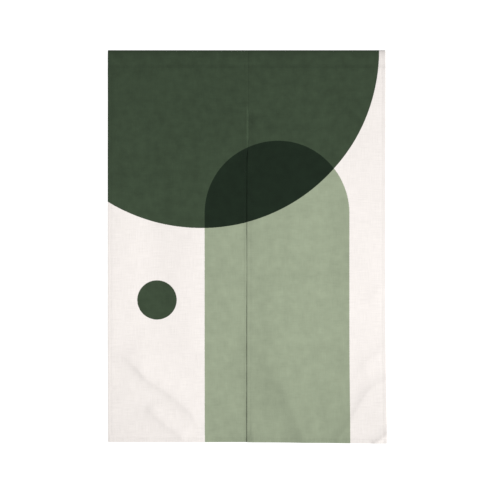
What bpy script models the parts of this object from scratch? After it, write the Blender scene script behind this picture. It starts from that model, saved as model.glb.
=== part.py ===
"""Partition curtain: two cloth panels with a rod pocket, seamed at the top and slit below.

Metres, +Z up. The origin is the middle of the top edge, in the plane of the rod's axis.
+X is the viewer's right and +Y points away from the viewer, behind the curtain.
"""

import math
from collections import namedtuple

import bmesh
import bpy

MM = 0.001

# Driving dimensions
CURTAIN_WIDTH = 850 * MM
CURTAIN_DROP = 1200 * MM
CLOTH_THICKNESS = 1.2 * MM
LAYER_GAP = 0.4 * MM

# Rod pocket, the top of each panel turned over to the back and stitched down
POCKET_HEIGHT = 50 * MM
POCKET_DEPTH = 16 * MM
POCKET_CROWN = 28 * MM
POCKET_TURNING = 5 * MM
# Above 1, the back of the pocket stays full further down before it closes on the stitches
POCKET_BELLY = 1.4

# The folds ease in below the stitches, because the rod holds the top straight
FOLDS_START = 55 * MM
FOLDS_FULL = 200 * MM

# Where the creases begin, and the cells get finer
CREASED_BELOW = 860 * MM

# Cells of one panel's grid. Between the seam and the settled slit there is a row of cells for
# each row of PARTING.
COLUMNS = 24
CREASED_ROWS = 24
SETTLED_ROWS = 10
SEAM_ROWS = 3
FRONT_ROWS = 2
CROWN_ROWS = 8
BACK_ROWS = 6
SLIT_COLUMNS = (4 * MM, 11 * MM)

# The edges along the middle: their places, how far the right panel hangs in front of the left one
# there, and how far each edge curls forward. The left edge laps over the right one from 190 to
# 280 mm down, and the right edge over the left one below 350 mm.
SEAM_END = 170 * MM
SLIT_SETTLED = 370 * MM
Parting = namedtuple("Parting", "below_top left_x right_x step left_curl right_curl")
PARTING = [
    Parting(0 * MM, 3.84 * MM, 4.16 * MM, 0.0 * MM, 0.0 * MM, 0.0 * MM),
    Parting(170 * MM, 3.84 * MM, 4.16 * MM, 0.0 * MM, 0.0 * MM, 0.0 * MM),
    Parting(182 * MM, 4.80 * MM, 5.15 * MM, -1.9 * MM, 0.0 * MM, 0.0 * MM),
    Parting(196 * MM, 6.30 * MM, 5.90 * MM, -4.8 * MM, 0.0 * MM, 0.0 * MM),
    Parting(268 * MM, 6.30 * MM, 5.90 * MM, -4.8 * MM, 0.0 * MM, 0.0 * MM),
    Parting(288 * MM, 5.20 * MM, 5.55 * MM, -1.8 * MM, 0.0 * MM, 0.0 * MM),
    Parting(312 * MM, 3.40 * MM, 3.75 * MM, 0.6 * MM, 0.1 * MM, 0.0 * MM),
    Parting(338 * MM, 2.30 * MM, 2.65 * MM, 2.1 * MM, 0.4 * MM, -0.1 * MM),
    Parting(352 * MM, 2.10 * MM, 1.80 * MM, 2.3 * MM, 0.4 * MM, -0.1 * MM),
    Parting(370 * MM, 2.00 * MM, 1.20 * MM, 2.3 * MM, 0.5 * MM, -0.1 * MM),
    Parting(700 * MM, 2.20 * MM, 1.00 * MM, 2.7 * MM, 0.7 * MM, -0.3 * MM),
    Parting(1100 * MM, 2.30 * MM, 1.00 * MM, 3.4 * MM, 1.1 * MM, -0.6 * MM),
    Parting(1150 * MM, 2.40 * MM, 1.10 * MM, 4.8 * MM, 1.1 * MM, -1.9 * MM),
    Parting(1200 * MM, 2.90 * MM, 1.30 * MM, 6.1 * MM, 1.1 * MM, -3.0 * MM),
]

# How far into a panel the step and the two curls reach
STEP_REACH = 130 * MM
LEFT_CURL_REACH = 18 * MM
RIGHT_CURL_REACH = 12 * MM

# The outer edges drift to the viewer's right by these amounts at the hem
LEFT_EDGE_DRIFT = 0.9 * MM
RIGHT_EDGE_DRIFT = 1.0 * MM

# Creases in millimetres, each a crest that runs down through its (x, z) points. The cloth climbs
# to the crest within a few times steep on the viewer's left, and falls away over gentle on the
# right. The rise fades in and out over fade at the crest's ends.
Crease = namedtuple("Crease", "crest steep gentle fade rise")
LEFT_CREASES = [
    Crease([(-408, -908), (-324, -983), (-251, -1041), (-188, -1091), (-147, -1176)], 11, 60, 90, 2.8),
    Crease([(-350, -961), (-283, -1022), (-240, -1049)], 11, 40, 40, 1.6),
    Crease([(-312, -1084), (-266, -1131), (-180, -1202)], 12, 28, 34, 2.4),
    Crease([(-58, -740), (-48, -850)], 18, 40, 40, 0.8),
]
RIGHT_CREASES = [
    Crease([(84, -930), (298, -1533)], 50, 400, 270, 11.0),
    Crease([(80, -945), (140, -1115)], 30, 60, 45, 2.6),
    Crease([(62, -620), (70, -1150)], 26, 60, 120, 1.6),
    Crease([(465, -980), (424, -1008), (372, -1041), (340, -1089), (318, -1135)], 12, 110, 36, 2.2),
    Crease([(330, -1108), (308, -1149), (262, -1215)], 12, 80, 36, 1.8),
    Crease([(450, -893), (377, -942), (330, -990)], 10, 45, 50, 1.3),
    Crease([(418, -720), (382, -767), (374, -790)], 12, 30, 24, 0.9),
    Crease([(446, -1156), (418, -1178), (380, -1206)], 8, 10, 12, 3.0),
]
CREST_ROUNDING = 0.22

# Broad soft swells in millimetres. A rise above zero comes towards the viewer.
Swell = namedtuple("Swell", "x z reach_x reach_z rise")
LEFT_SWELLS = [
    Swell(-460, -1130, 120, 130, -2.5),
    Swell(-455, -110, 130, 110, -3.0),
    Swell(-280, -600, 70, 340, -3.0),
]
RIGHT_SWELLS = [
    Swell(130, -880, 95, 190, 3.2),
    Swell(265, -640, 80, 300, -3.0),
    Swell(356, -190, 40, 40, 1.2),
    Swell(520, -1190, 200, 150, 22.0),
]

# Plain colours of the dyed cloth, linear
SAGE = (0.33, 0.38, 0.27, 1.0)
DARK_GREEN = (0.048, 0.069, 0.042, 1.0)
CLOTH_ROUGHNESS = 0.9


def clear_scene():
    for thing in list(bpy.data.objects):
        bpy.data.objects.remove(thing, do_unlink=True)


def ease(value, low, high):
    """0 at low, 1 at high, and smooth between."""
    share = min(max((value - low) / (high - low), 0.0), 1.0)
    return share * share * (3.0 - 2.0 * share)


def parting_at(z):
    """The middle edges at this height, eased between the rows of PARTING."""
    below_top = -z
    for upper, lower in zip(PARTING, PARTING[1:]):
        if below_top <= lower.below_top:
            share = ease(below_top, upper.below_top, lower.below_top)
            return Parting(*(a + (b - a) * share for a, b in zip(upper, lower)))
    return PARTING[-1]


def crease_lift(crease, x, z):
    """How far one crease lifts the cloth at a point, all in millimetres."""
    nearest = (math.inf, 0.0, False)
    passed = 0.0
    for (start_x, start_z), (end_x, end_z) in zip(crease.crest, crease.crest[1:]):
        run_x = end_x - start_x
        run_z = end_z - start_z
        length = math.hypot(run_x, run_z)
        share = ((x - start_x) * run_x + (z - start_z) * run_z) / length**2
        share = min(max(share, 0.0), 1.0)
        off_x = x - start_x - share * run_x
        off_z = z - start_z - share * run_z
        on_steep = run_x * off_z - run_z * off_x < 0
        nearest = min(nearest, (math.hypot(off_x, off_z), passed + share * length, on_steep))
        passed += length
    away, along, on_steep = nearest
    rise = crease.rise * ease(along, 0.0, crease.fade) * ease(passed - along, 0.0, crease.fade)
    if on_steep:
        rounding = CREST_ROUNDING * crease.steep
        return rise * math.exp((rounding - math.hypot(away, rounding)) / crease.steep)
    return rise * math.exp(-((away / crease.gentle) ** 2))


def swell_lift(swell, x, z):
    """How far one swell lifts the cloth at a point, all in millimetres."""
    off_x = (x - swell.x) / swell.reach_x
    off_z = (z - swell.z) / swell.reach_z
    return swell.rise * math.exp(-(off_x**2 + off_z**2))


def fold_depth(x, z, side):
    """How far the cloth lies behind its flat plane. side is -1 on the left panel, 1 on the right."""
    parting = parting_at(z)
    if side < 0:
        from_edge = x - parting.left_x
        curled = parting.left_curl * math.exp(-((from_edge / LEFT_CURL_REACH) ** 2))
        creases, swells = LEFT_CREASES, LEFT_SWELLS
    else:
        from_edge = x - parting.right_x
        curled = parting.right_curl * math.exp(-((from_edge / RIGHT_CURL_REACH) ** 2))
        creases, swells = RIGHT_CREASES, RIGHT_SWELLS
    stepped = side * parting.step / 2 * math.exp(-((from_edge / STEP_REACH) ** 2))
    lift = sum(crease_lift(crease, x / MM, z / MM) for crease in creases)
    lift += sum(swell_lift(swell, x / MM, z / MM) for swell in swells)
    return -stepped - curled - lift * MM * ease(-z, FOLDS_START, FOLDS_FULL)


def even_heights(low, high, rows):
    """The lower ends of even rows of cells, both limits measured down from the top."""
    return [-low + (low - high) * row / rows for row in range(rows)]


def hanging_line():
    """(depth, height) of the printed face, from the hem up over the rod and down the back."""
    heights = even_heights(CURTAIN_DROP, CREASED_BELOW, CREASED_ROWS)
    heights += even_heights(CREASED_BELOW, SLIT_SETTLED, SETTLED_ROWS)
    slit_rows = [row.below_top for row in PARTING if SEAM_END < row.below_top <= SLIT_SETTLED]
    heights += [-below_top for below_top in reversed(slit_rows)]
    heights += even_heights(SEAM_END, POCKET_HEIGHT, SEAM_ROWS)
    heights += even_heights(POCKET_HEIGHT, POCKET_CROWN, FRONT_ROWS)
    front = -POCKET_DEPTH / 2
    line = [(front, height) for height in heights]
    for row in range(CROWN_ROWS):
        turn = math.pi * row / CROWN_ROWS
        line.append((front * math.cos(turn), POCKET_CROWN * (math.sin(turn) - 1.0)))
    seat = front + 2 * CLOTH_THICKNESS + LAYER_GAP
    for row in range(BACK_ROWS + 1):
        height = -POCKET_CROWN - (POCKET_HEIGHT - POCKET_CROWN) * row / BACK_ROWS
        share = ease((row / BACK_ROWS) ** POCKET_BELLY, 0.0, 1.0)
        line.append((-front + (seat + front) * share, height))
    line.append((seat, -POCKET_HEIGHT - POCKET_TURNING))
    return line


def columns_of():
    """Places across a panel, 0 at its outer edge and 1 at the middle one, closer by the slit."""
    panel_width = CURTAIN_WIDTH / 2
    places = [column / COLUMNS for column in range(COLUMNS + 1)]
    places += [1.0 - offset / panel_width for offset in SLIT_COLUMNS]
    return sorted(places)


def cloth_surface(name, side):
    """The printed face of one panel as an open grid, from hem to turned-over edge."""
    line = hanging_line()
    places = columns_of()
    bm = bmesh.new()
    bmesh.ops.create_grid(bm, x_segments=len(places) - 1, y_segments=len(line) - 1, size=0.5)
    for vertex in bm.verts:
        column = round((vertex.co.x + 0.5) * (len(places) - 1))
        row = round((vertex.co.y + 0.5) * (len(line) - 1))
        # The grid runs left to right, so the right panel reads its places backwards.
        across = places[column] if side < 0 else places[-1 - column]
        depth, z = line[row]
        parting = parting_at(z)
        inner_x = parting.left_x if side < 0 else parting.right_x
        drift = LEFT_EDGE_DRIFT if side < 0 else RIGHT_EDGE_DRIFT
        outer_x = side * CURTAIN_WIDTH / 2 + drift * ease(-z, CREASED_BELOW, CURTAIN_DROP)
        x = outer_x + (inner_x - outer_x) * across
        vertex.co = (x, depth + fold_depth(x, z, side), z)
    mesh = bpy.data.meshes.new(name)
    bm.to_mesh(mesh)
    bm.free()
    mesh.shade_smooth()
    return mesh


def cloth_material(name, colour):
    material = bpy.data.materials.new(name)
    material.use_nodes = True
    shader = material.node_tree.nodes["Principled BSDF"]
    shader.inputs["Base Color"].default_value = colour
    shader.inputs["Roughness"].default_value = CLOTH_ROUGHNESS
    shader.inputs["Metallic"].default_value = 0.0
    material.diffuse_color = colour
    return material


def add_panel(collection, name, side, colour):
    """One panel: its printed face, given the cloth's thickness towards the back."""
    mesh = cloth_surface(name, side)
    mesh.materials.append(cloth_material(name + "_cloth", colour))
    panel = bpy.data.objects.new(name, mesh)
    collection.objects.link(panel)
    thickness = panel.modifiers.new("cloth_thickness", "SOLIDIFY")
    thickness.thickness = CLOTH_THICKNESS
    thickness.offset = -1.0
    thickness.use_even_offset = True
    return panel


def main():
    clear_scene()
    collection = bpy.data.collections.new("partition_curtain")
    bpy.context.scene.collection.children.link(collection)
    add_panel(collection, "left_panel", -1, SAGE)
    add_panel(collection, "right_panel", 1, DARK_GREEN)


main()
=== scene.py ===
import math
from collections import namedtuple
from functools import partial

import bmesh
import bpy
from mathutils import Matrix, Vector, noise


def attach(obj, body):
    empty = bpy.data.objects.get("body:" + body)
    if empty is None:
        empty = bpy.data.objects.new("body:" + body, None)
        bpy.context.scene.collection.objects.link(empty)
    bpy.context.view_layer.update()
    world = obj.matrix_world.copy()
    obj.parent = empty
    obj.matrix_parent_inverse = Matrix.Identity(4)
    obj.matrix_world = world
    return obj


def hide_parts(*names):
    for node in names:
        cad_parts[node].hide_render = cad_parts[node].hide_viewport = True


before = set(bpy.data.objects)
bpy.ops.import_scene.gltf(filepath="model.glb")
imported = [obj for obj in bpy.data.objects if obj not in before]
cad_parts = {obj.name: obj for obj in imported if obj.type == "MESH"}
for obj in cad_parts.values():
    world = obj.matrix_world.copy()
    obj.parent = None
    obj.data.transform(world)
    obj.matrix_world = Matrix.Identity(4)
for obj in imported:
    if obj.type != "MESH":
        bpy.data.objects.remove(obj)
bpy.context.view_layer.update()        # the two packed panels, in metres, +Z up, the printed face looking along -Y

mm = 0.001

# A doorway curtain of printed cloth: two panels with a turned-over rod pocket, seamed together down
# the middle over the top 170 mm and parted by a slit below. x is the viewer's right, y goes away
# from the viewer, and z is 0 at the top edge.

curtain = {
    "width": 850 * mm,
    "drop": 1200 * mm,
    "cloth": 0.4 * mm,             # thin polyester-linen
    "layerGap": 0.1 * mm,          # air between pressed layers
    "pocketHeight": 50 * mm,       # top edge to the row of stitches
    "pocketDepth": 16 * mm,
    "pocketCrown": 28 * mm,
    "pocketBelly": 1.4,            # above 1, the back stays full further down
    "pocketTurning": 5 * mm,       # cloth below the stitches, at the back
    "turnedIn": 10 * mm,           # the flap's raw edge, folded into the pocket
    "sideHem": 13 * mm,
    "bottomHem": 15 * mm,
    "stitchInset": 2.5 * mm,       # from a hem's inner fold to its stitches
    "seamLength": 170 * mm,
    "leftDrift": 0.9 * mm,         # the outer edges wander to the right towards the hem
    "rightDrift": 1.0 * mm,
    "driftsBelow": 860 * mm,
    "cell": 4.6 * mm,              # of the cloth's grid, closer beside stitches, folds and edges
    "besideStitches": (-4.0 * mm, -2.0 * mm, -0.7 * mm, 0.7 * mm, 2.0 * mm, 4.0 * mm),
    "leastCell": 1.5 * mm,
    "besideFold": 3 * mm,          # from a side hem's fold to the first place beside it
    "besideEdge": 0.7 * mm,        # and from its raw edge
    "aboveFold": 4 * mm,
    "turnedShares": (0.4, 0.7, 1.0),      # places across a turned hem or edge
    "bendSteps": 6,
    "crownSteps": 22,
    "backSteps": 8,
}

# The two middle edges, in millimetres: where they lie, how far the right panel hangs in front of the
# left one there, how far each edge curls forward, and how far the left edge rolls back. The left edge
# laps over the right one from 190 to 280 mm down, and the right one over the left below 340 mm.
Parting = namedtuple("Parting", "belowTop leftX rightX step leftCurl rightCurl leftRoll")
partingRows = [
    Parting(0, 4.01, 3.99, 0.0, 0.0, 0.0, 0.0),
    Parting(160, 4.01, 3.99, 0.0, 0.0, 0.0, 0.0),
    Parting(178, 4.60, 4.56, -1.7, 0.0, -0.4, 0.4),
    Parting(196, 5.70, 5.30, -4.8, 0.0, -1.4, 5.0),
    Parting(268, 5.70, 5.30, -4.8, 0.0, -1.4, 5.0),
    Parting(288, 4.90, 4.80, -1.8, 0.0, -0.4, 0.6),
    Parting(310, 3.40, 3.30, 0.6, 0.1, 0.0, 0.0),
    Parting(335, 2.30, 2.20, 1.9, 0.4, -0.1, 0.0),
    Parting(360, 2.00, 1.20, 1.8, 0.5, -0.1, 0.0),
    Parting(700, 2.20, 1.00, 2.2, 0.7, -0.3, 0.0),
    Parting(1100, 2.30, 1.00, 3.0, 1.1, -0.6, 0.0),
    Parting(1150, 2.40, 1.10, 4.8, 1.1, -1.6, 0.0),
    Parting(1200, 2.90, 1.30, 6.3, 1.1, -2.3, 0.0),
]
partingReach = {"step": 130 * mm, "leftCurl": 18 * mm, "rightCurl": 12 * mm, "leftRoll": 2.2 * mm}

# Creases, in millimetres, each a crest that runs down through its points. The cloth climbs to the
# crest within a few times steep on the viewer's left and falls away over gentle on the right. The
# rise fades in and out over fade at the crest's ends.
crestRounding = 0.22           # in steeps
Crease = namedtuple("Crease", "crest steep gentle fade rise")
leftCreases = [
    Crease([(-408, -908), (-386, -926), (-324, -983), (-308, -1005), (-283, -1022), (-251, -1041),
            (-216, -1070), (-188, -1091), (-167, -1115), (-153, -1146), (-147, -1176)], 11, 60, 90, 2.8),
    Crease([(-350, -961), (-308, -1005), (-283, -1022), (-240, -1049)], 11, 40, 40, 1.6),
    Crease([(-312, -1084), (-293, -1104), (-266, -1131), (-234, -1155), (-206, -1177), (-180, -1202)],
           12, 28, 34, 2.4),
    Crease([(-58, -740), (-48, -850)], 18, 40, 40, 0.8),
]
rightCreases = [
    Crease([(84, -930), (298, -1533)], 50, 400, 270, 11.0),
    Crease([(80, -945), (140, -1115)], 30, 60, 45, 2.6),
    Crease([(62, -620), (70, -1150)], 26, 60, 120, 1.6),
    Crease([(465, -980), (424, -1008), (372, -1041), (340, -1089), (318, -1135)], 12, 110, 36, 2.2),
    Crease([(330, -1108), (308, -1149), (286, -1177), (262, -1215)], 12, 80, 36, 1.8),
    Crease([(450, -893), (422, -912), (377, -942), (356, -964), (330, -990)], 10, 45, 50, 1.3),
    Crease([(418, -720), (403, -733), (382, -767), (374, -790)], 12, 30, 24, 0.9),
    Crease([(446, -1156), (418, -1178), (380, -1206)], 8, 10, 12, 3.0),
]

# Broad soft swells, in millimetres. A rise above zero comes towards the viewer.
Swell = namedtuple("Swell", "x z reachX reachZ rise")
leftSwells = [
    Swell(-460, -1130, 120, 130, -2.5),
    Swell(-455, -110, 130, 110, -3.0),
    Swell(-280, -600, 70, 340, -3.0),
]
rightSwells = [
    Swell(130, -880, 95, 190, 3.2),
    Swell(265, -640, 80, 300, -3.0),
    Swell(356, -190, 40, 40, 1.2),
    Swell(520, -1190, 200, 150, 22.0),
]


def ease(value, low, high):
    share = min(max((value - low) / (high - low), 0.0), 1.0)
    return share * share * (3.0 - 2.0 * share)


def partingAt(z):
    belowTop = max(-z / mm, 0.0)
    for upper, lower in zip(partingRows, partingRows[1:]):
        if belowTop <= lower.belowTop:
            share = ease(belowTop, upper.belowTop, lower.belowTop)
            return Parting(*(a + (b - a) * share for a, b in zip(upper, lower)))
    return partingRows[-1]


def innerEdge(z, side):
    parting = partingAt(z)
    return (parting.leftX if side < 0 else parting.rightX) * mm


def outerEdge(z, side):
    drift = curtain["leftDrift"] if side < 0 else curtain["rightDrift"]
    return side * curtain["width"] / 2 + drift * ease(-z, curtain["driftsBelow"], curtain["drop"])


def creaseLift(crease, x, z):
    # the nearest place on the crest, and how far along it that lies
    nearest = (math.inf, 0.0, False)
    passed = 0.0
    for (startX, startZ), (endX, endZ) in zip(crease.crest, crease.crest[1:]):
        runX = endX - startX
        runZ = endZ - startZ
        length = math.hypot(runX, runZ)
        share = ((x - startX) * runX + (z - startZ) * runZ) / length**2
        share = min(max(share, 0.0), 1.0)
        offX = x - startX - share * runX
        offZ = z - startZ - share * runZ
        onSteep = runX * offZ - runZ * offX < 0
        nearest = min(nearest, (math.hypot(offX, offZ), passed + share * length, onSteep))
        passed += length
    away, along, onSteep = nearest
    rise = crease.rise * ease(along, 0.0, crease.fade) * ease(passed - along, 0.0, crease.fade)
    if onSteep:
        rounding = crestRounding * crease.steep
        return rise * math.exp((rounding - math.hypot(away, rounding)) / crease.steep)
    return rise * math.exp(-(away / crease.gentle) ** 2)


# Small unevenness on top of the main folds: rumples, the rows of stitches, which sink in and pucker
# the cloth beside them, and the seam. The main folds ease in below the pocket's straight row.
relief = {
    "foldsStart": 55 * mm,
    "foldsFull": 200 * mm,
    "rumple": 0.55 * mm,
    "rumpleSize": 70 * mm,
    "ripple": 0.18 * mm,
    "rippleSize": 22 * mm,
    "panelsUnlike": 100 * mm,      # how far apart the two panels are read in the rumples' noise
    "unlikeBelow": 400 * mm,
    "stitchSink": 0.11 * mm,
    "stitchWidth": 3.0 * mm,
    "pocketSink": 1.1 * mm,
    "pocketUpper": 15 * mm,
    "pocketLower": 5.5 * mm,
    "seamSink": 0.22 * mm,
    "seamWidth": 4.5 * mm,
    "seamEnding": 10 * mm,         # the seam gives way to the slit over this, up and down
    "pucker": 0.14 * mm,
    "puckerPitch": 13 * mm,
    "puckerSwing": 47 * mm,        # the puckers' pitch wanders over this length
    "puckerWander": 2.1,           # by up to this angle, in radians
    "puckerReach": 9 * mm,
}


def pucker(distance, along):
    wander = relief["puckerWander"] * math.sin(along / relief["puckerSwing"])
    wave = math.sin(along / relief["puckerPitch"] * math.tau + wander)
    return relief["pucker"] * wave * math.exp(-(distance / relief["puckerReach"]) ** 2)


def groove(distance, along):
    sunk = relief["stitchSink"] * math.exp(-(distance / relief["stitchWidth"]) ** 2)
    return sunk + pucker(distance, along)


def outerHemLine(z, side):
    return outerEdge(z, side) - side * (curtain["sideHem"] - curtain["stitchInset"])


def innerHemLine(z, side):
    return innerEdge(z, side) + side * (curtain["sideHem"] - curtain["stitchInset"])


bottomHemLine = -curtain["drop"] + curtain["bottomHem"] - curtain["stitchInset"]
pocketLine = -curtain["pocketHeight"]


def stitchDepth(x, z, side):
    reach = relief["pocketUpper"] if z > pocketLine else relief["pocketLower"]
    sunk = relief["pocketSink"] * math.exp(-((z - pocketLine) / reach) ** 2)
    sunk += pucker(z - pocketLine, x) + groove(z - bottomHemLine, x)
    if z < pocketLine:
        sunk += groove(x - outerHemLine(z, side), z)
    ending = relief["seamEnding"]
    parted = ease(-z, curtain["seamLength"] - ending, curtain["seamLength"] + ending)
    sunk += groove(x - innerHemLine(z, side), z) * parted
    fromSeam = (x - innerEdge(z, side)) / relief["seamWidth"]
    return sunk + relief["seamSink"] * math.exp(-fromSeam * fromSeam) * (1.0 - parted)


def foldDepth(x, z, side):
    # how far the cloth lies behind its flat plane
    parting = partingAt(z)
    fromEdge = x - innerEdge(z, side)
    curl = "leftCurl" if side < 0 else "rightCurl"
    stepped = side * parting.step / 2 * math.exp(-(fromEdge / partingReach["step"]) ** 2)
    curled = getattr(parting, curl) * math.exp(-(fromEdge / partingReach[curl]) ** 2)
    if side < 0:
        curled -= parting.leftRoll * math.exp(-(fromEdge / partingReach["leftRoll"]) ** 2)
    creases, swells = (leftCreases, leftSwells) if side < 0 else (rightCreases, rightSwells)
    lift = sum(creaseLift(crease, x / mm, z / mm) for crease in creases)
    for swell in swells:
        offX = (x / mm - swell.x) / swell.reachX
        offZ = (z / mm - swell.z) / swell.reachZ
        lift += swell.rise * math.exp(-(offX * offX + offZ * offZ))
    # sewn together, the panels share their rumples, and below the seam each has its own
    unlike = relief["panelsUnlike"] * side * ease(-z, curtain["seamLength"], relief["unlikeBelow"])
    place = Vector((x, z, unlike))
    rumple = relief["rumple"] * noise.noise(place / relief["rumpleSize"])
    rumple += relief["ripple"] * noise.noise(place / relief["rippleSize"])
    eased = ease(-z, relief["foldsStart"], relief["foldsFull"])
    return stitchDepth(x, z, side) - (stepped + curled) * mm - (lift * mm + rumple) * eased


def spread(low, high, lines):
    # even steps from low to high, with closer ones beside each row of stitches
    near = [line + offset for line in lines for offset in curtain["besideStitches"]]
    near = [place for place in near if low < place < high]
    count = max(1, round((high - low) / curtain["cell"]))
    even = [low + (high - low) * step / count for step in range(count + 1)]
    even = [place for place in even if all(abs(place - other) > curtain["leastCell"] for other in near)]
    return sorted(even + near)


def layersNear(fromEdge):
    # 1 in the middle of a panel, and 2 over its turned side hems
    beside = curtain["besideFold"]
    return 1.0 + ease(curtain["sideHem"] + beside - fromEdge, 0.0, beside)


def hemThickness(layers):
    return 2 * layers * (curtain["cloth"] + curtain["layerGap"]) - curtain["layerGap"]


def seatDepth(layers):
    # the printed face of the pocket's back, where it is stitched to the front
    return 3 * layers * (curtain["cloth"] + curtain["layerGap"]) - curtain["pocketDepth"] / 2


def flapDepth(height, layers):
    back = curtain["pocketDepth"] / 2
    span = curtain["pocketHeight"] - curtain["pocketCrown"]
    fallen = max((-height - curtain["pocketCrown"]) / span, 0.0)
    return back + (seatDepth(layers) - back) * ease(fallen ** curtain["pocketBelly"], 0.0, 1.0)


# The cloth's own way, seen from the side: from the edge of the turned-up hem, up the front, over the
# rod's place, down the back, and round the flap's folded edge into the pocket.
ClothPoint = namedtuple("ClothPoint", "depth height way inwardDepth inwardHeight")


def clothLine(layers):
    front = -curtain["pocketDepth"] / 2
    crown = curtain["pocketCrown"]
    thick = hemThickness(layers)
    bend = thick / 2
    steps = curtain["bendSteps"]
    low = -curtain["drop"]

    shares = curtain["turnedShares"]
    points = [(front + thick, low + curtain["bottomHem"] * share) for share in reversed(shares)]
    for step in range(steps + 1):
        turn = math.pi * step / steps
        points.append((front + bend + bend * math.cos(turn), low + bend - bend * math.sin(turn)))
    heights = spread(low + curtain["aboveFold"], -crown, [bottomHemLine, pocketLine])
    points += [(front, height) for height in heights[:-1]]
    crownStart = len(points)
    for step in range(curtain["crownSteps"] + 1):
        turn = math.pi * step / curtain["crownSteps"]
        points.append((front * math.cos(turn), crown * (math.sin(turn) - 1.0)))

    end = pocketLine - curtain["pocketTurning"]
    for step in range(1, curtain["backSteps"] + 1):
        height = -crown + (end + bend + crown) * step / curtain["backSteps"]
        points.append((flapDepth(height, layers), height))
    seat = seatDepth(layers)
    for step in range(1, steps + 1):
        turn = math.pi * step / steps
        points.append((seat - bend + bend * math.cos(turn), end + bend - bend * math.sin(turn)))
    for share in shares:
        height = end + curtain["turnedIn"] * share
        points.append((flapDepth(height, layers) - thick, height))

    ways = [0.0]
    for start, stop in zip(points, points[1:]):
        ways.append(ways[-1] + math.dist(start, stop))
    shift = -crown - ways[crownStart]      # so that the way is the height all down the front

    line = []
    for i, (depth, height) in enumerate(points):
        before = Vector(points[max(i - 1, 0)])
        after = Vector(points[min(i + 1, len(points) - 1)])
        run = (after - before).normalized()
        line.append(ClothPoint(depth, height, ways[i] + shift, run.y, -run.x))
    return line


# The cloth's way across a panel, seen from above: round the turned outer hem, along the front, and
# round the turned hem at the slit.
AcrossPoint = namedtuple("AcrossPoint", "share behind flat layers")


def acrossLine():
    width = curtain["width"] / 2
    hem = curtain["sideHem"]
    steps = curtain["bendSteps"]
    thick = hemThickness(1.0)
    bend = thick / 2
    turned = [(hem, thick), (hem - curtain["besideEdge"], thick), (hem / 2, thick)]
    for step in range(steps + 1):
        turn = math.pi * step / steps
        turned.append((bend - bend * math.sin(turn), bend + bend * math.cos(turn)))
    stitch = hem - curtain["stitchInset"]
    beside = curtain["besideFold"]
    middle = spread(beside, width - beside, [stitch, width - stitch])
    points = turned + [(place, 0.0) for place in middle]
    points += [(width - place, behind) for place, behind in reversed(turned)]

    flats = [0.0]
    for start, stop in zip(points, points[1:]):
        flats.append(flats[-1] + math.dist(start, stop))
    frontStart = len(turned) - 1
    shift = points[frontStart][0] - flats[frontStart]
    return [
        AcrossPoint(place / width, behind, flat + shift, layersNear(min(place, width - place)))
        for (place, behind), flat in zip(points, flats)
    ]


printSheet = {"span": 1.5, "middleU": 0.5, "topV": 0.9}     # metres of flat cloth in one UV unit


def clothUV(flatX, way):
    return flatX / printSheet["span"] + printSheet["middleU"], way / printSheet["span"] + printSheet["topV"]


def addObject(name, bm):
    mesh = bpy.data.meshes.new(name)
    bm.to_mesh(mesh)
    bm.free()
    thing = bpy.data.objects.new(name, mesh)
    bpy.context.scene.collection.objects.link(thing)
    return thing


def addPanel(name, side):
    across = acrossLine()
    lines = {layers: clothLine(layers) for layers in {point.layers for point in across}}
    columns = len(across) - 1
    rows = len(lines[1.0]) - 1
    bm = bmesh.new()
    bmesh.ops.create_grid(bm, x_segments=columns, y_segments=rows, size=0.5)
    flats = {}
    for vertex in bm.verts:
        column = round((vertex.co.x + 0.5) * columns)
        point = across[column] if side < 0 else across[columns - column]      # both start at the outside
        cloth = lines[point.layers][round((vertex.co.y + 0.5) * rows)]
        z = cloth.height + point.behind * cloth.inwardHeight
        outer = outerEdge(z, side)
        x = outer + (innerEdge(z, side) - outer) * point.share
        depth = cloth.depth + point.behind * cloth.inwardDepth + foldDepth(x, z, side)
        vertex.co = (x, depth, z)
        flats[vertex.index] = clothUV(side * (curtain["width"] / 2 - point.flat), cloth.way)
    layer = bm.loops.layers.uv.new("cloth")
    for face in bm.faces:
        face.smooth = True
        for loop in face.loops:
            loop[layer].uv = flats[loop.vert.index]
    panel = addObject(name, bm)
    thick = panel.modifiers.new("cloth thickness", "SOLIDIFY")
    thick.thickness = curtain["cloth"]
    thick.offset = -1.0
    thick.material_offset = 1
    thick.material_offset_rim = 1
    return panel


# Rows of lockstitch, the same at the front and the back, each stitch a small bead of thread.
stitching = {
    "thick": 0.30 * mm,
    "long": 2.7 * mm,
    "pitch": 3.5 * mm,
    "proud": 0.03 * mm,            # of the cloth's surface, at the front and the back
    "sides": 6,
    "rings": 4,
    "startsIn": 2.0 * mm,          # from the panel's edge to a row's first stitch
    "belowPocket": 6.0 * mm,       # from the pocket's stitches to where a side hem's begin
}


def stitchRows(side):
    # each row's ends as (x, z), and how far behind the front its back lies at a place near an edge
    seamEnd = -curtain["seamLength"]
    top = pocketLine - stitching["belowPocket"]
    bottom = bottomHemLine
    inset = side * stitching["startsIn"]
    fromFront = curtain["pocketDepth"] / 2
    sideHem = hemThickness(1.0)
    return [
        ((outerEdge(pocketLine, side) - inset, pocketLine),
         (innerEdge(pocketLine, side) + inset, pocketLine),
         lambda fromEdge: seatDepth(layersNear(fromEdge)) + fromFront),
        ((outerEdge(bottom, side) - inset, bottom),
         (innerEdge(bottom, side) + inset, bottom),
         lambda fromEdge: hemThickness(layersNear(fromEdge))),
        ((outerHemLine(top, side), top),
         (outerHemLine(bottom, side), bottom),
         lambda fromEdge: sideHem),
        ((innerHemLine(seamEnd, side), seamEnd),
         (innerHemLine(bottom, side), bottom),
         lambda fromEdge: sideHem),
    ]


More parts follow.
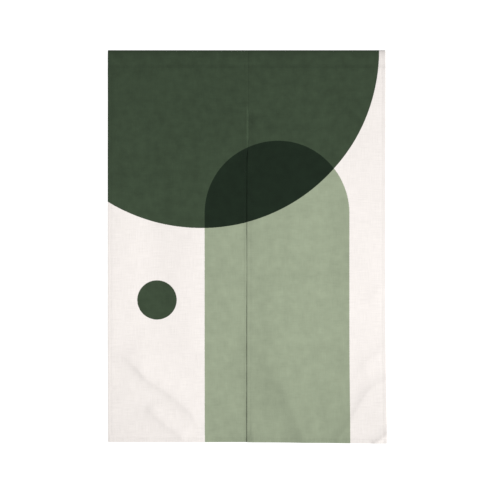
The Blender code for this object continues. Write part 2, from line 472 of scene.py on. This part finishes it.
def addStitches(name, side):
    # one bead, copied along the rows into a single mesh
    bm = bmesh.new()
    size = Matrix.Diagonal((stitching["thick"], stitching["thick"], stitching["long"], 1.0))
    bmesh.ops.create_uvsphere(bm, u_segments=stitching["sides"], v_segments=stitching["rings"], radius=0.5,
                              matrix=size)
    bead = [vertex.co.copy() for vertex in bm.verts]
    beadFaces = [[vertex.index for vertex in face.verts] for face in bm.faces]
    bm.free()

    vertices = []
    faces = []
    spots = []
    front = -curtain["pocketDepth"] / 2
    for start, end, backAt in stitchRows(side):
        length = math.dist(start, end)
        count = int(length / stitching["pitch"])
        for i in range(count):
            ends = []
            for along in (-0.5, 0.5):
                share = (i + 0.5) / count + along * stitching["long"] / length
                x = start[0] + (end[0] - start[0]) * share
                z = start[1] + (end[1] - start[1]) * share
                ends.append(Vector((x, front + foldDepth(x, z, side), z)))
            centre = (ends[0] + ends[1]) / 2
            turn = (ends[1] - ends[0]).to_track_quat("Z", "Y")
            fromEdge = min(i + 0.5, count - i - 0.5) * length / count
            for behind in (-stitching["proud"], backAt(fromEdge) + stitching["proud"]):
                first = len(vertices)
                place = centre + Vector((0.0, behind, 0.0))
                vertices += [place + turn @ corner for corner in bead]
                faces += [[first + corner for corner in face] for face in beadFaces]
                spots += [clothUV(centre.x, centre.z)] * sum(len(face) for face in beadFaces)

    mesh = bpy.data.meshes.new(name)
    mesh.from_pydata(vertices, [], faces)
    mesh.shade_smooth()
    layer = mesh.uv_layers.new(name="cloth")
    layer.data.foreach_set("uv", [value for spot in spots for value in spot])
    stitches = bpy.data.objects.new(name, mesh)
    bpy.context.scene.collection.objects.link(stitches)
    return stitches


def linear(hexColour):
    channels = [int(hexColour[i:i + 2], 16) / 255 for i in (1, 3, 5)]
    return tuple(c / 12.92 if c <= 0.04045 else ((c + 0.055) / 1.055) ** 2.4 for c in channels) + (1.0,)


def addNode(tree, kind, sockets=None, **settings):
    # a socket takes a value, another socket, or a node, which gives its first output in use
    node = tree.nodes.new(kind)
    for name, value in settings.items():
        setattr(node, name, value)
    for socket, value in (sockets or {}).items():
        if isinstance(value, bpy.types.Node):
            value = next(output for output in value.outputs if output.enabled)
        if isinstance(value, bpy.types.NodeSocket):
            tree.links.new(value, node.inputs[socket])
        else:
            node.inputs[socket].default_value = value
    return node


# The print's plain shapes, in metres of flat cloth: a half-disc that hangs from the top edge, an arch
# that stands on the hem, and a small disc.
motifs = {
    "hillCentre": (-0.140, 0.0, 0.0),
    "hillRadius": 0.545,
    "archCentre": (0.092, -0.500, 0.0),
    "archHalfWidth": 0.222,
    "discCentre": (-0.275, -0.765, 0.0),
    "discRadius": 0.060,
}

# Polyester-linen, printed on one side. To the eye: matt, crisp shapes, colours that cloud a little
# where the ink took unevenly, and thick and thin yarns running both ways.
printedCloth = {
    "ground": "#f0eae6",
    "sage": "#97a189",
    "darkGreen": "#3a4836",
    "overlap": "#19261a",
    "roughness": 0.92,
    "specular": 0.15,
    "sheen": 0.03,
    "cloudSize": 28 * mm,
    "groundCloud": 0.03,           # how far the clouds change the tone of each colour
    "sageCloud": 0.21,
    "darkCloud": 0.42,
    "patchSize": 110 * mm,
    "groundPatch": 0.03,           # and how far the wide patches do
    "inkPatch": 0.12,
    "slubLength": 42 * mm,
    "slubWidth": 1.7 * mm,
    "slub": 0.14,
    "slubRelief": 1.2,             # how far thick yarns stand out, in weave depths
    "weavePitch": 0.9 * mm,        # real yarns are 0.5 mm apart, drawn coarser so that they show
    "weaveDepth": 0.05 * mm,
    "weaveStrength": 0.6,
    "inkEdge": 0.5 * mm,
    "inkWander": 0.35 * mm,
    "wanderSize": 2.5 * mm,
    "reverseInk": 0.42,            # how much of the print shows through at the back
    "hemPaintedShade": 0.975,              # painted shade: layered cloth is painted deeper, because less light comes through it
    "slitHemPaintedShade": 0.985,
    "pocketPaintedShade": 0.970,
    "flapHemPaintedShade": 0.950,
    "paintedShadeEdge": 1 * mm,
}


def flatCloth(add):
    # a place in metres of flat cloth, with 0 in the middle of the top edge
    uv = add("ShaderNodeUVMap", uv_map="cloth")
    origin = (printSheet["middleU"], printSheet["topV"], 0.0)
    centred = add("ShaderNodeVectorMath", {0: uv, 1: origin}, operation="SUBTRACT")
    return add("ShaderNodeVectorMath", {0: centred, "Scale": printSheet["span"]}, operation="SCALE")


def unevenness(add, flat, sizeX, sizeY, detail, shift):
    # soft noise around 0, with blotches of a real size. Each use has a shift of its own, in blotches,
    # so that no two patterns fall together.
    scale = (1 / sizeX, 1 / sizeY, 1.0)
    place = add("ShaderNodeMapping", {"Vector": flat, "Location": (shift, shift, 0.0), "Scale": scale})
    cloud = add("ShaderNodeTexNoise", {"Vector": place, "Scale": 1.0, "Detail": detail},
                noise_dimensions="2D")
    return add("ShaderNodeMath", {0: cloud, 1: 0.5}, operation="SUBTRACT")


def printedShape(add, distance, radius):
    edge = printedCloth["inkEdge"]
    return add("ShaderNodeMapRange", {0: distance, 1: radius + edge, 2: radius - edge},
               interpolation_type="SMOOTHSTEP")


def printedColour(add, flat):
    # the shapes' edges follow the yarns, so they wander by a fraction of a millimetre. The noise
    # reaches about a quarter either way.
    size = printedCloth["wanderSize"]
    wander = unevenness(add, flat, size, size, detail=1.0, shift=7.3)
    wander = add("ShaderNodeMath", {0: wander, 1: 4 * printedCloth["inkWander"]}, operation="MULTIPLY")
    inked = add("ShaderNodeVectorMath", {0: flat, 1: wander}, operation="ADD")

    fromHill = add("ShaderNodeVectorMath", {0: inked, 1: motifs["hillCentre"]}, operation="DISTANCE")
    fromDisc = add("ShaderNodeVectorMath", {0: inked, 1: motifs["discCentre"]}, operation="DISTANCE")
    inArch = add("ShaderNodeVectorMath", {0: inked, 1: motifs["archCentre"]}, operation="SUBTRACT")
    legs = (-1.0, 0.0, 0.0)        # the arch's sides run straight down below its centre
    inArch = add("ShaderNodeVectorMath", {0: inArch, 1: legs}, operation="MAXIMUM")
    fromArch = add("ShaderNodeVectorMath", {0: inArch}, operation="LENGTH")

    hill = printedShape(add, fromHill, motifs["hillRadius"])
    disc = printedShape(add, fromDisc, motifs["discRadius"])
    arch = printedShape(add, fromArch, motifs["archHalfWidth"])
    dark = add("ShaderNodeMath", {0: hill, 1: disc}, operation="MAXIMUM")
    both = add("ShaderNodeMath", {0: dark, 1: arch}, operation="MULTIPLY")
    ink = add("ShaderNodeMath", {0: dark, 1: arch}, operation="MAXIMUM")
    colour = linear(printedCloth["ground"])
    for factor, name in ((arch, "sage"), (dark, "darkGreen"), (both, "overlap")):
        tint = linear(printedCloth[name])
        colour = add("ShaderNodeMix", {0: factor, 6: colour, 7: tint}, data_type="RGBA")
    cloudiness = printedCloth["groundCloud"]
    for factor, cloud in ((arch, "sageCloud"), (dark, "darkCloud")):
        cloudiness = add("ShaderNodeMix", {0: factor, 2: cloudiness, 3: printedCloth[cloud]})
    return colour, cloudiness, ink


def layeredPaintedShade(add, flat):
    # painted shade: 1 on single cloth, and painted a shade deeper over the hems and the pocket, where the stacked
    # layers let less light through
    half = curtain["width"] / 2
    hem = curtain["sideHem"]
    drop = curtain["drop"]
    pocket = curtain["pocketHeight"]
    flapEnd = -pocket - curtain["pocketTurning"]
    edge = printedCloth["paintedShadeEdge"]
    place = add("ShaderNodeSeparateXYZ", {0: flat})
    tone = 1.0
    for axis, low, high, shadedTone in (
        ("X", -half, hem - half, printedCloth["hemPaintedShade"]),
        ("X", half - hem, half, printedCloth["hemPaintedShade"]),
        ("X", -hem, hem, printedCloth["slitHemPaintedShade"]),
        ("Y", -drop, curtain["bottomHem"] - drop, printedCloth["hemPaintedShade"]),
        ("Y", -pocket, 2 * pocket, printedCloth["pocketPaintedShade"]),
        ("Y", flapEnd, flapEnd + curtain["turnedIn"], printedCloth["flapHemPaintedShade"]),
    ):
        away = add("ShaderNodeMath", {0: place.outputs[axis], 1: (low + high) / 2}, operation="SUBTRACT")
        away = add("ShaderNodeMath", {0: away}, operation="ABSOLUTE")
        reach = (high - low) / 2
        shade = add("ShaderNodeMapRange", {0: away, 1: reach - edge, 2: reach + edge, 3: shadedTone, 4: 1.0})
        tone = add("ShaderNodeMath", {0: tone, 1: shade}, operation="MULTIPLY")
    return tone


def clothMaterial(name, inkShare):
    # inkShare is how much of the print shows: all of it on the face, less on the reverse
    look = printedCloth
    material = bpy.data.materials.new(name)
    material.use_nodes = True
    tree = material.node_tree
    shader = tree.nodes["Principled BSDF"]
    shader.inputs["Roughness"].default_value = look["roughness"]
    shader.inputs["Specular IOR Level"].default_value = look["specular"]
    shader.inputs["Sheen Weight"].default_value = look["sheen"]
    add = partial(addNode, tree)
    flat = flatCloth(add)
    colour, cloudiness, ink = printedColour(add, flat)
    if inkShare < 1.0:
        colour = add("ShaderNodeMix", {0: inkShare, 6: linear(look["ground"]), 7: colour}, data_type="RGBA")

    # uneven ink in soft clouds and wide patches, and thick and thin yarns across and down
    cloud = unevenness(add, flat, look["cloudSize"], look["cloudSize"], detail=3.0, shift=3.1)
    patch = unevenness(add, flat, look["patchSize"], look["patchSize"], detail=1.0, shift=5.7)
    patchiness = add("ShaderNodeMapRange", {0: ink, 3: look["groundPatch"], 4: look["inkPatch"]})
    weft = unevenness(add, flat, look["slubLength"], look["slubWidth"], detail=2.0, shift=11.0)
    warp = unevenness(add, flat, look["slubWidth"], look["slubLength"], detail=2.0, shift=23.0)
    slub = add("ShaderNodeMath", {0: weft, 1: warp}, operation="ADD")
    tone = add("ShaderNodeMath", {0: cloud, 1: cloudiness, 2: 1.0}, operation="MULTIPLY_ADD")
    tone = add("ShaderNodeMath", {0: patch, 1: patchiness, 2: tone}, operation="MULTIPLY_ADD")
    tone = add("ShaderNodeMath", {0: slub, 1: look["slub"], 2: tone}, operation="MULTIPLY_ADD")
    # painted shade: deeper over the layered hems, the pocket and its turned-in flap
    tone = add("ShaderNodeMath", {0: tone, 1: layeredPaintedShade(add, flat)}, operation="MULTIPLY")
    toned = add("ShaderNodeVectorMath", {0: colour, "Scale": tone}, operation="SCALE")
    tree.links.new(toned.outputs["Vector"], shader.inputs["Base Color"])

    # the weave itself, as bump. At scale 1 the Wave texture's bands lie tau / 20 apart.
    waves = {"Vector": flat, "Scale": math.tau / 20 / look["weavePitch"]}
    across = add("ShaderNodeTexWave", waves, bands_direction="X")
    down = add("ShaderNodeTexWave", waves, bands_direction="Y")
    weave = add("ShaderNodeMath", {0: across.outputs["Fac"], 1: down.outputs["Fac"]}, operation="MULTIPLY")
    raised = add("ShaderNodeMath", {0: slub, 1: look["slubRelief"], 2: weave}, operation="MULTIPLY_ADD")
    bump = add("ShaderNodeBump", {"Height": raised, "Distance": look["weaveDepth"],
                                  "Strength": look["weaveStrength"]})
    tree.links.new(bump.outputs["Normal"], shader.inputs["Normal"])
    return material


# Spun polyester sewing thread. It took the print with the cloth, so it shows only as fine beads of the print's
# colours, a touch shinier than the cloth, with painted shade that makes them 4 to 32 per cent darker, standing in
# for the shadow of the sunk rows of stitches.
sewingThread = {
    "paintedShadeDeepest": 0.68,
    "paintedShadeLightest": 0.96,
    "roughness": 0.65,
    "twist": 0.5 * mm,
}


def threadMaterial():
    material = bpy.data.materials.new("spun polyester thread")
    material.use_nodes = True
    tree = material.node_tree
    shader = tree.nodes["Principled BSDF"]
    shader.inputs["Roughness"].default_value = sewingThread["roughness"]
    add = partial(addNode, tree)
    colour = printedColour(add, flatCloth(add))[0]
    place = add("ShaderNodeTexCoord").outputs["Object"]
    twist = add("ShaderNodeTexNoise", {"Vector": place, "Scale": 1 / sewingThread["twist"]})
    # painted shade: the print's colour made darker, unevenly in a noise as fine as the twist
    tone = add("ShaderNodeMapRange", {0: twist, 3: sewingThread["paintedShadeDeepest"], 4: sewingThread["paintedShadeLightest"]})
    toned = add("ShaderNodeVectorMath", {0: colour, "Scale": tone}, operation="SCALE")
    tree.links.new(toned.outputs["Vector"], shader.inputs["Base Color"])
    return material


# Each panel is cut 451 by 1290 mm, with its side hems, its bottom hem and what goes over the rod.
face = clothMaterial("printed polyester-linen", 1.0)
reverse = clothMaterial("polyester-linen reverse", printedCloth["reverseInk"])
thread = threadMaterial()
for name, side in (("left", -1), ("right", 1)):
    panel = addPanel(name + "_panel_cloth", side)
    panel.data.materials.append(face)
    panel.data.materials.append(reverse)
    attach(panel, "root")
    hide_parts(name + "_panel")
    stitches = addStitches(name + "_panel_stitches", side)
    stitches.data.materials.append(thread)
    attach(stitches, "root")
    print(name, "panel", len(panel.data.polygons), "faces, stitches", len(stitches.data.polygons))

# Camera, floor and soft studio light

studio = {
    "lens": 85.0,
    "sensor": 36.0,
    "frameWidth": 1504.2 * mm,     # the photo's frame, at the curtain's plane
    "aimX": -2.0 * mm,
    "aimZ": -600 * mm,
    "floorHeight": -2.0,
    "floorHalf": 1.45,
    "floorPaint": "#f4f4f2",
    "floorRoughness": 0.9,
    "wallWhite": 1.15,             # above 1, so that the wall shows pure white
    "fill": 0.15,
    "softbox": (5.0, 5.0),
    "keyPower": 2150.0,
    "keyPlace": (11.5, -8.3, -2.7),       # to the right, far away and low, so that the creases show
    "backPower": 900.0,
    "backPlace": (-7.0, 9.0, 0.8),
    "strip": (3.0, 0.25),          # wide and close, so that the top and the hem are a little deeper
    "stripPower": 8.9,
    "stripPlace": (0.0, -1.25, -0.72),
}


def addCamera():
    data = bpy.data.cameras.new("camera")
    data.lens = studio["lens"]
    data.sensor_width = studio["sensor"]
    camera = bpy.data.objects.new("camera", data)
    away = studio["frameWidth"] * studio["lens"] / studio["sensor"]
    camera.location = (studio["aimX"], -curtain["pocketDepth"] / 2 - away, studio["aimZ"])
    camera.rotation_euler = (math.pi / 2, 0.0, 0.0)
    bpy.context.scene.collection.objects.link(camera)
    bpy.context.scene.camera = camera


def addFloor():
    bm = bmesh.new()
    bmesh.ops.create_grid(bm, x_segments=1, y_segments=1, size=studio["floorHalf"])
    bmesh.ops.translate(bm, verts=bm.verts, vec=(0.0, 0.0, studio["floorHeight"]))
    floor = addObject("floor", bm)
    paint = bpy.data.materials.new("matt white floor paint")
    paint.use_nodes = True
    shader = paint.node_tree.nodes["Principled BSDF"]
    shader.inputs["Base Color"].default_value = linear(studio["floorPaint"])
    shader.inputs["Roughness"].default_value = studio["floorRoughness"]
    floor.data.materials.append(paint)


def addSoftLight(name, place, power, size):
    data = bpy.data.lights.new(name, "AREA")
    data.shape = "RECTANGLE"
    data.size, data.size_y = size
    data.energy = power
    light = bpy.data.objects.new(name, data)
    light.location = place
    aim = Vector((0.0, 0.0, studio["aimZ"])) - light.location
    light.rotation_euler = aim.to_track_quat("-Z", "Y").to_euler()
    light.visible_camera = False
    bpy.context.scene.collection.objects.link(light)


def addWorld():
    # the camera sees a white wall, and the cloth is lit by a softer white
    world = bpy.data.worlds.new("white studio")
    world.use_nodes = True
    tree = world.node_tree
    tree.nodes.clear()
    fill = addNode(tree, "ShaderNodeBackground", {"Strength": studio["fill"]})
    wall = addNode(tree, "ShaderNodeBackground", {"Strength": studio["wallWhite"]})
    for white in (fill, wall):
        white.inputs["Color"].default_value = (1.0, 1.0, 1.0, 1.0)
    seen = addNode(tree, "ShaderNodeLightPath").outputs["Is Camera Ray"]
    mixed = addNode(tree, "ShaderNodeMixShader", {0: seen, 1: fill, 2: wall})
    addNode(tree, "ShaderNodeOutputWorld", {"Surface": mixed})
    bpy.context.scene.world = world


addCamera()
addFloor()
addSoftLight("key light", studio["keyPlace"], studio["keyPower"], studio["softbox"])
addSoftLight("back light", studio["backPlace"], studio["backPower"], studio["softbox"])
addSoftLight("front strip", studio["stripPlace"], studio["stripPower"], studio["strip"])
addWorld()
bpy.context.scene.view_settings.view_transform = "Standard"
print("studio set")
